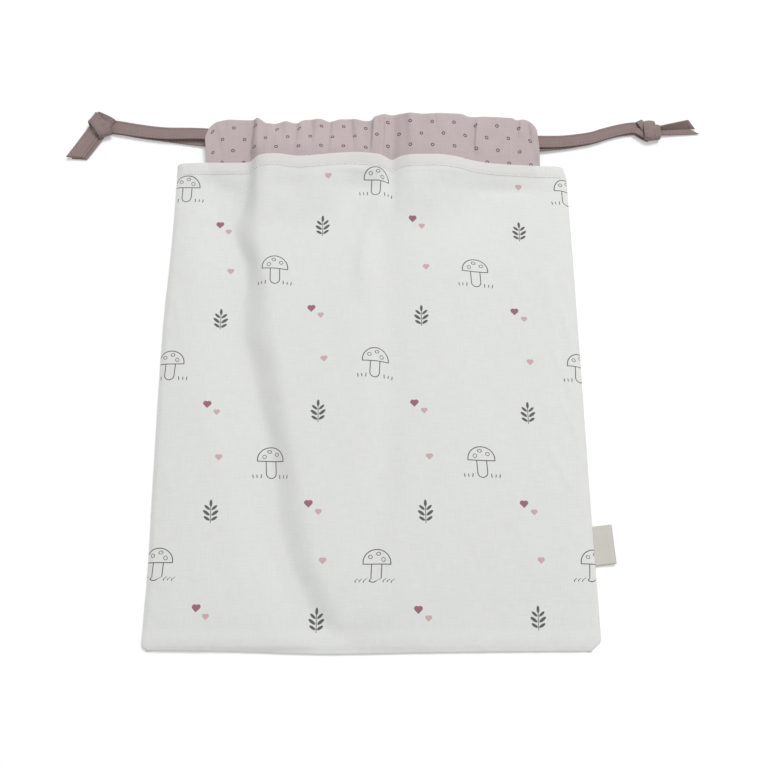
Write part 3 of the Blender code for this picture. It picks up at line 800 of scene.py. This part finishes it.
def back_top(x):
    corner = ease((abs(x) - 96) / 10)
    return 178.2 - 9.5 * corner * corner + 0.5 * math.sin(x * 0.21) + 0.3 * math.sin(x * 0.53)


def back_middle(x, y):
    return 1.72 - 0.45 * ease((y - 150) / 6)


def inner_face(x, y):
    return 0.25 * ripple(x * 0.8, y * 0.5, 2.6) * ease((y - 150) / 10)


front_casing = casing("front_casing_cloth", casing_top, casing_middle, gathers, inner_face, 0.95)
back_casing = casing("back_casing_cloth", back_top, back_middle, inner_face,
                     lambda x, y: 0.6 * inner_face(x, y), 0.92)
for piece, node in [(front_casing, "front_casing"), (back_casing, "back_casing")]:
    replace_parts(piece, node)
print("casing faces:", len(front_casing.data.polygons))

# %% [markdown]
# ## The tapes inside the casings
#
# Each tape runs on through the front casing, turns round the far ends of both casings and comes
# back through the other one. Little of it shows, but an empty tube would be dark at its ends.

# %% Run the tapes through


def inner_run(name, side, front_track, back_track, node):
    """The hidden run of a tape whose strands leave at that side. It stops short of the far end,
    by more at the left, where the casings' end leans in."""
    steps, turns = 60, 6
    far = -101.6 if side > 0 else 104.6
    count = 2 * steps + turns

    def place(column, row):
        a, b = TAPE_SECTION[row]
        b *= 0.6
        if column <= steps:
            x, angle = mix(side * 100, far, column / steps), 0.0
        elif column < steps + turns:
            x, angle = far, math.pi * (column - steps) / turns
        else:
            x, angle = mix(far, side * 100, (column - steps - turns) / steps), math.pi
        y = a + mix(front_track(x), back_track(x), angle / math.pi)
        over, under = casing_middle(x, y) - 0.15, back_middle(x, y)
        half = (over - under) / 2 + b
        z = (over + under) / 2 + half * math.cos(angle)
        return (x - side * (0.5 + b) * math.sin(angle), y, z)

    def mapped(column, row):
        return (TAPE_SECTION[row][0], 208.0 * column / steps)

    made = cloth(name, count, len(TAPE_SECTION) - 1, place, mapped, closed=True)
    close_ends(made)
    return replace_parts(made, node)


left_run = inner_run("left_inner_run", -1, track([(-106, 167.6), (-60, 166.4), (0, 168.5),
                     (60, 171.0), (106, 170.4)]),
                     track([(-106, 164.2), (0, 168.5), (106, 170.2)]), "left_drawstring")
right_run = inner_run("right_inner_run", 1, track([(-106, 157.0), (-60, 157.6), (0, 159.6),
                      (60, 162.2), (106, 164.2)]),
                      track([(-106, 155.8), (0, 159.8), (106, 161.4)]), "right_drawstring")
print("inner runs made")

# %% [markdown]
# ## The side label
#
# A short woven ribbon is folded in half and caught in the right seam. It has a slightly
# curled outer edge, and it is blank.

# %% Fold the label
LABEL = [(124.8, -81.4), (125.2, -103.6), (137.3, -102.2), (136.0, -80.0)]


def label_place(column, row):
    s, t = column / 26, row / 24
    turn = (s - 0.5) * 2
    out = 1 - abs(turn)
    near = Vector(LABEL[0]).lerp(Vector(LABEL[1]), t)
    far = Vector(LABEL[3]).lerp(Vector(LABEL[2]), t)
    bend = math.sqrt(max(1 - (1 - min((1 - out) / 0.10, 1.0)) ** 2, 0.0))
    place = near.lerp(far, out)
    half = 0.30 * bend + 0.10
    curl = 0.9 * out * out * (0.4 + 0.6 * t) + 0.15 * math.sin(t * 5 + 1)
    z = 0.72 + curl + (half if turn < 0 else -half)
    return (place.x, place.y, max(z, 0.14))


label = cloth("blank_label", 26, 24, label_place, lambda c, r: (c * 0.9, r * 0.93))
wall(label, 0.22)
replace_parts(label, "side_label")
print("label reaches", round(max(v.co.x for v in label.data.vertices) / MM, 1), "mm")

# %% [markdown]
# ## Finishes
#
# All four cloths are matt and woven, so each finish is a Principled shader with a weave in its
# bump and a little unevenness in its colour. The patterns are worked out from distances: a node
# gives how far a point is from a shape's outline, and a narrow step turns that into ink. They
# stay sharp at any size, which a painted image would not.

# %% Short names for the nodes of a finish


def add_node(tree, kind, *values, named=None, **settings):
    """A node with these settings. Its inputs, in order or by name or number, take values or
    other nodes' outputs."""
    node = tree.nodes.new(kind)
    for key, value in settings.items():
        setattr(node, key, value)
    for socket, value in [*enumerate(values), *(named or {}).items()]:
        if isinstance(value, bpy.types.NodeSocket):
            tree.links.new(value, node.inputs[socket])
        else:
            node.inputs[socket].default_value = value
    return node


class Finish:
    """A material, with helpers that add its nodes and give back their outputs."""

    def __init__(self, name, colour, roughness, sheen):
        self.material = bpy.data.materials.new(name)
        self.material.use_nodes = True
        self.material.diffuse_color = (*colour, 1.0)
        self.tree = self.material.node_tree
        self.shader = self.tree.nodes["Principled BSDF"]
        for socket, value in [("Base Color", (*colour, 1.0)), ("Roughness", roughness),
                              ("Sheen Weight", sheen), ("Sheen Roughness", 0.6),
                              ("Specular IOR Level", 0.25)]:
            self.shader.inputs[socket].default_value = value

    def add(self, kind, *values, named=None, **settings):
        return add_node(self.tree, kind, *values, named=named, **settings)

    def calc(self, operation, *values, clamp=False):
        return self.add("ShaderNodeMath", *values, operation=operation, use_clamp=clamp).outputs[0]

    def noise(self, where, scale, **settings):
        """Soft noise from 0 to 1."""
        inputs = {"Vector": where, "Scale": scale, "Detail": 2.0}
        return self.add("ShaderNodeTexNoise", named=inputs, **settings).outputs[0]

    def least(self, *distances):
        """The union of shapes: the least of their distances."""
        found = distances[0]
        for other in distances[1:]:
            found = self.calc("MINIMUM", found, other)
        return found

    def flat_place(self):
        """The point on the uncut cloth in millimetres, and its two coordinates."""
        where = self.add("ShaderNodeUVMap", uv_map="cloth").outputs[0]
        apart = self.add("ShaderNodeSeparateXYZ", where)
        return where, apart.outputs[0], apart.outputs[1]

    def together(self, u, v):
        return self.add("ShaderNodeCombineXYZ", u, v, 0.0).outputs[0]

    def oval(self, point, x, y, across, along, degrees=0.0):
        """The distance to an ellipse, below zero inside it."""
        inside = self.add("ShaderNodeMapping", point, (x, y, 0.0),
                          (0.0, 0.0, math.radians(degrees)), (across, along, 1.0),
                          vector_type="TEXTURE").outputs[0]
        size = self.add("ShaderNodeVectorMath", inside, operation="LENGTH").outputs["Value"]
        return self.calc("MULTIPLY", self.calc("SUBTRACT", size, 1.0), min(across, along))

    def stroke(self, point, x0, y0, x1, y1, half):
        """The distance to a straight stroke with round ends."""
        run, rise = x1 - x0, y1 - y0
        start = self.add("ShaderNodeVectorMath", point, (x0, y0, 0.0), operation="SUBTRACT")
        share = self.add("ShaderNodeVectorMath", start.outputs[0], (run, rise, 0.0),
                         operation="DOT_PRODUCT").outputs["Value"]
        share = self.calc("DIVIDE", share, run * run + rise * rise, clamp=True)
        foot = self.together(self.calc("MULTIPLY", share, run), self.calc("MULTIPLY", share, rise))
        away = self.add("ShaderNodeVectorMath", start.outputs[0], foot, operation="DISTANCE")
        return self.calc("SUBTRACT", away.outputs["Value"], half)

    def outline(self, distance, half):
        """The distance to a line drawn along a shape's outline."""
        return self.calc("SUBTRACT", self.calc("ABSOLUTE", distance), half)

    def ink(self, distance, soft=0.12):
        """1 where the ink is and 0 beyond it, with a narrow soft edge."""
        return self.calc("MULTIPLY_ADD", distance, -1 / soft, 0.5, clamp=True)

    def dye(self, cover, ground, colour):
        """The ground with a colour printed over it where cover is 1."""
        inputs = {0: cover}
        for number, value in [(6, ground), (7, colour)]:
            given = isinstance(value, bpy.types.NodeSocket)
            inputs[number] = value if given else (*value, 1.0)
        return self.add("ShaderNodeMix", named=inputs, data_type="RGBA").outputs[2]

    def repeat(self, u, v, pitch, drop, right, up, size=1.0):
        """A point's place in a half-drop repeat, mirrored from one column to the next. Figures
        drawn there come out that many times their size."""
        u, v = self.calc("SUBTRACT", u, right), self.calc("SUBTRACT", v, up)
        column = self.calc("ROUND", self.calc("DIVIDE", u, pitch))
        odd = self.calc("FLOORED_MODULO", column, 2.0)
        u = self.calc("SUBTRACT", u, self.calc("MULTIPLY", column, pitch))
        u = self.calc("MULTIPLY", u, self.calc("MULTIPLY_ADD", odd, -2.0, 1.0))
        v = self.calc("SUBTRACT", v, self.calc("MULTIPLY", odd, drop / 2))
        row = self.calc("ROUND", self.calc("DIVIDE", v, drop))
        v = self.calc("SUBTRACT", v, self.calc("MULTIPLY", row, drop))
        u, v = self.calc("DIVIDE", u, size), self.calc("DIVIDE", v, size)
        return self.together(u, v), u, v

    def weave(self, where, u, v, thread, depth, slub=0.35):
        """A plain weave in the bump: threads at that spacing, with thicker ones here and there.
        Gives back the slubs, from 0 to 1, for the colour."""
        over = self.calc("SINE", self.calc("MULTIPLY", u, math.tau / thread))
        under = self.calc("SINE", self.calc("MULTIPLY", v, math.tau / thread))
        grain = self.calc("MULTIPLY", over, under)
        slubs = []
        for scale in [(1.6, 0.10, 1.0), (0.10, 1.6, 1.0)]:
            stretched = self.add("ShaderNodeMapping", where, named={"Scale": scale}).outputs[0]
            slubs.append(self.noise(stretched, 1.0, noise_dimensions="2D"))
        uneven = self.calc("MULTIPLY", self.calc("ADD", *slubs), 0.5)
        thicker = self.calc("MULTIPLY", uneven, slub * 2)
        height = self.calc("MULTIPLY_ADD", grain, 0.5 * (1 - slub), thicker)
        raised = self.add("ShaderNodeBump", named={"Strength": 1.0, "Distance": depth * MM,
                                                   "Height": height})
        self.tree.links.new(raised.outputs[0], self.shader.inputs["Normal"])
        return uneven

    def vary(self, colour, uneven, light, dark):
        """The colour, between a darker and a lighter one with the unevenness of the thread."""
        low = tuple(c * dark for c in colour)
        high = tuple(min(c * light, 1.0) for c in colour)
        spread_out = self.calc("MULTIPLY_ADD", uneven, 2.2, -0.6, clamp=True)
        return self.dye(spread_out, low, high)

    def colour_is(self, colour):
        self.tree.links.new(colour, self.shader.inputs["Base Color"])
        return self.material


# %% [markdown]
# ## The white printed cotton
#
# The print is sparse: small outlined mushrooms between blades of grass, leafy sprigs and little
# hearts in two pinks, each on its own half-drop repeat of the same size, so that they never meet.
# The side that faces into the bag is the same cotton without the print.

# %% Mix the white cotton
INK_GREY, LEAF_GREY = (0.085, 0.080, 0.080), (0.115, 0.118, 0.112)
ROSE, BLUSH = (0.33, 0.145, 0.185), (0.58, 0.42, 0.41)
# The second colour is for the hem over the casing: a little of the pink casing showing through the
# thin cotton, and painted shade.
WHITE, HEM_SHOW_THROUGH_AND_SHADE = (0.75, 0.76, 0.74), (0.695, 0.685, 0.675)
CASING_UNDER_HEM = 141.0  # the hem is a little darker above this, where the casing lies under it
COLUMN, DROP = 61.0, 118.0


def white_cotton(name, printed):
    finish = Finish(name, WHITE, 0.92, 0.08)
    where, u, v = finish.flat_place()
    uneven = finish.weave(where, u, v, 0.44, 0.05)
    colour = finish.vary(WHITE, uneven, 1.03, 0.955)
    if not printed:
        return finish.colour_is(colour)
    # Where the casing lies under the hem, the white is painted darker and a little warmer: partly
    # the casing showing through, partly painted shade.
    over_casing = finish.calc("MAXIMUM", finish.calc("SUBTRACT", CASING_UNDER_HEM, v),
                              finish.calc("SUBTRACT", finish.calc("ABSOLUTE", u), CASING_END))
    shade = finish.calc("MULTIPLY", finish.ink(over_casing, 1.2), 0.8)
    colour = finish.dye(shade, colour, HEM_SHOW_THROUGH_AND_SHADE)
    point, a, b = finish.repeat(u, v, COLUMN, DROP, 2.0, 14.0, 0.86)
    cap = finish.oval(point, 0.3, 2.6, 9.0, 8.4, 4)
    cap = finish.calc("MAXIMUM", cap, finish.calc("SUBTRACT", 1.6, b))
    stem = finish.stroke(point, 0.2, 2.0, -0.3, -6.6, 3.3)
    stem = finish.calc("MAXIMUM", stem, finish.calc("SUBTRACT", b, 1.6))
    spots = finish.least(finish.oval(point, -3.9, 6.2, 1.25, 1.1),
                         finish.oval(point, 1.4, 8.2, 1.3, 1.0, 10),
                         finish.oval(point, 4.6, 4.6, 1.2, 1.3, 20))
    drawn = finish.least(finish.outline(cap, 0.3), finish.outline(stem, 0.3),
                         finish.outline(spots, 0.2))
    aside = finish.together(finish.calc("ABSOLUTE", a), b)
    blades = [(6.4, -9.8, 6.2, -7.6), (9.0, -9.6, 9.2, -8.0), (11.6, -9.9, 11.9, -7.9)]
    grass = finish.least(*[finish.stroke(aside, *ends, 0.3) for ends in blades])
    colour = finish.dye(finish.ink(finish.least(drawn, grass)), colour, INK_GREY)

    point, a, b = finish.repeat(u, v, COLUMN, DROP, 30.0, 44.0, 0.8)
    aside = finish.together(finish.calc("ABSOLUTE", a), b)
    sprig = finish.least(finish.stroke(point, 0.0, -7.5, 0.0, 5.5, 0.26),
                         finish.oval(point, 0.0, 6.6, 1.0, 2.5),
                         finish.oval(aside, 2.5, 3.4, 2.5, 0.95, 42),
                         finish.oval(aside, 3.0, -0.4, 2.9, 1.1, 38),
                         finish.oval(aside, 2.6, -4.4, 2.5, 1.0, 34))
    colour = finish.dye(finish.ink(sprig), colour, LEAF_GREY)

    for right, up, size, dye in [(25.0, -10.0, 1.0, ROSE), (30.6, -14.6, 0.78, BLUSH),
                                 (33.0, 76.0, 0.85, BLUSH)]:
        point, a, b = finish.repeat(u, v, COLUMN, DROP, right, up)
        wide = finish.calc("ABSOLUTE", a)
        square = finish.calc("SUBTRACT", finish.calc("ADD", wide, finish.calc("ABSOLUTE", b)),
                             2.0 * size)
        lobes = finish.oval(finish.together(wide, b), 1.0 * size, 1.0 * size, 1.42 * size,
                            1.42 * size)
        heart = finish.least(finish.calc("MULTIPLY", square, 0.7), lobes)
        colour = finish.dye(finish.ink(heart), colour, dye)
    return finish.colour_is(colour)


printed_cotton = white_cotton("printed white cotton", True)
plain_cotton = white_cotton("plain white cotton", False)
for piece in (front, back):
    piece.data.materials.append(printed_cotton)
    piece.data.materials.append(plain_cotton)
print("nodes in the print:", len(printed_cotton.node_tree.nodes))

# %% [markdown]
# ## The dotted cotton, the tape, the ribbon and the thread
#
# The casings' cotton carries small dark rings, in rows that each start half a step over. The
# tape is a darker mauve with a row of edge stitching, the label's ribbon is finely woven, and
# the thread is plain white.

# %% Mix the dotted cotton
PINK, RING_MAUVE = (0.51, 0.43, 0.43), (0.135, 0.075, 0.085)


def dotted_cotton():
    finish = Finish("dotted pink cotton", PINK, 0.9, 0.1)
    where, u, v = finish.flat_place()
    uneven = finish.weave(where, u, v, 0.40, 0.035)
    colour = finish.vary(PINK, uneven, 1.05, 0.93)
    point, a, b = finish.repeat(u, v, 6.95, 16.0, 3.0, 4.0)
    dots = finish.outline(finish.oval(point, 0.0, 0.0, 0.86, 0.86), 0.3)
    return finish.colour_is(finish.dye(finish.ink(dots), colour, RING_MAUVE))


pink_cotton = dotted_cotton()
for piece in (front_casing, back_casing):
    piece.data.materials.append(pink_cotton)

# %% Mix the tape, the ribbon and the thread
TAPE_MAUVE, RIBBON = (0.27, 0.20, 0.195), (0.60, 0.58, 0.53)
THREAD, HOLE_SHADE = (0.80, 0.80, 0.79), (0.66, 0.65, 0.64)
SEWN = 2.75  # the tape's stitching, off its middle
SEWN_SHADE, SEWN_THREAD = (0.20, 0.145, 0.138), (0.33, 0.25, 0.24)


def tape_cloth():
    finish = Finish("mauve tape", TAPE_MAUVE, 0.88, 0.12)
    where, u, v = finish.flat_place()
    uneven = finish.weave(where, u, v, 0.36, 0.045, 0.5)
    colour = finish.vary(TAPE_MAUVE, uneven, 1.14, 0.86)
    # A dark line 2.75 mm either side of the middle is painted shade for the groove that the
    # stitching pulls in.
    row = finish.outline(finish.calc("SUBTRACT", finish.calc("ABSOLUTE", u), SEWN), 0.22)
    colour = finish.dye(finish.ink(row, 0.25), colour, SEWN_SHADE)
    along = finish.calc("FLOORED_MODULO", v, STITCH_PITCH)
    along = finish.calc("SUBTRACT", along, STITCH_PITCH / 2)
    off_row = finish.calc("SUBTRACT", u, SEWN)
    dash = finish.oval(finish.together(off_row, along), 0.0, 0.0, 0.2, 0.8)
    return finish.colour_is(finish.dye(finish.ink(dash), colour, SEWN_THREAD))


def ribbon():
    finish = Finish("beige ribbon", RIBBON, 0.75, 0.15)
    where, u, v = finish.flat_place()
    uneven = finish.weave(where, u, v, 0.5, 0.05, 0.4)
    return finish.colour_is(finish.vary(RIBBON, uneven, 1.03, 0.95))


def thread(name, shade):
    finish = Finish(name, shade, 0.7, 0.2)
    spot = finish.add("ShaderNodeTexCoord").outputs["Object"]
    return finish.colour_is(finish.vary(shade, finish.noise(spot, 900.0), 1.03, 0.92))


mauve = tape_cloth()
tapes = [*strands.values(), *tails.values(), *left_knot, *right_knot, left_run, right_run]
for piece in tapes:
    piece.data.materials.append(mauve)
label.data.materials.append(ribbon())
white_thread = thread("white thread", THREAD)
for piece in (front_stitches, back_stitches):
    piece.data.materials.append(white_thread)
# The needle holes' lumps take a grey thread colour as painted shade.
front_hole_shade.data.materials.append(thread("needle hole shade", HOLE_SHADE))
print("pieces in tape:", len(tapes))

# %% [markdown]
# ## The studio
#
# A white floor carries the pouch. To the camera it also glows a little, so that it reads as white
# while it still takes the pouch's soft shadow. One large lamp stands high to the upper right and
# models the folds, and the pale world fills the rest. A small lamp would draw hard edges.

# %% Lay the floor
FLOOR_LIT, FLOOR_GLOW = 0.80, 0.26


def backdrop_rays(tree):
    """1 for rays that show the backdrop itself: the camera's, and those of gloss and glass."""
    path = tree.nodes.new("ShaderNodeLightPath").outputs
    seen = path["Is Camera Ray"]
    for kind in ("Is Glossy Ray", "Is Transmission Ray"):
        seen = add_node(tree, "ShaderNodeMath", seen, path[kind], operation="ADD",
                        use_clamp=True).outputs[0]
    return seen


def floor_finish():
    made = bpy.data.materials.new("studio floor")
    made.use_nodes = True
    tree = made.node_tree
    tree.nodes.clear()
    matt = add_node(tree, "ShaderNodeBsdfDiffuse", (FLOOR_LIT, FLOOR_LIT, FLOOR_LIT, 1.0))
    level = add_node(tree, "ShaderNodeMath", backdrop_rays(tree), FLOOR_GLOW, operation="MULTIPLY")
    glow = add_node(tree, "ShaderNodeEmission", named={"Strength": level.outputs[0]})
    both = add_node(tree, "ShaderNodeAddShader", matt.outputs[0], glow.outputs[0])
    add_node(tree, "ShaderNodeOutputMaterial", both.outputs[0])
    return made


mesh = bmesh.new()
bmesh.ops.create_grid(mesh, x_segments=1, y_segments=1, size=3.0)
bmesh.ops.translate(mesh, vec=(0, 0, -0.0002), verts=mesh.verts)
data = bpy.data.meshes.new("floor")
mesh.to_mesh(data)
mesh.free()
floor = placed("floor", data)
floor.data.materials.append(floor_finish())

# %% Set the lamps and the world
KEY_POWER, FILL = 50.0, 0.535
key = bpy.data.lights.new("key", "AREA")
key.shape = "DISK"
key.size = 1.2
key.energy = KEY_POWER
key_lamp = placed("key", key)
key_lamp.location = (0.80, 1.38, 2.54)
to_pouch = Vector((0, 0, 0)) - key_lamp.location
key_lamp.rotation_euler = to_pouch.to_track_quat("-Z", "Y").to_euler()

world = bpy.data.worlds.new("studio")
scene.world = world
world.use_nodes = True
sky = world.node_tree.nodes["Background"]
sky.inputs["Color"].default_value = (1.0, 1.0, 1.0, 1.0)
shown = backdrop_rays(world.node_tree)
strength = add_node(world.node_tree, "ShaderNodeMapRange",
                    named={"Value": shown, "To Min": FILL, "To Max": 1.0})
world.node_tree.links.new(strength.outputs[0], sky.inputs["Strength"])
scene.view_settings.view_transform = "Standard"
print("key", KEY_POWER, "W, fill", FILL)
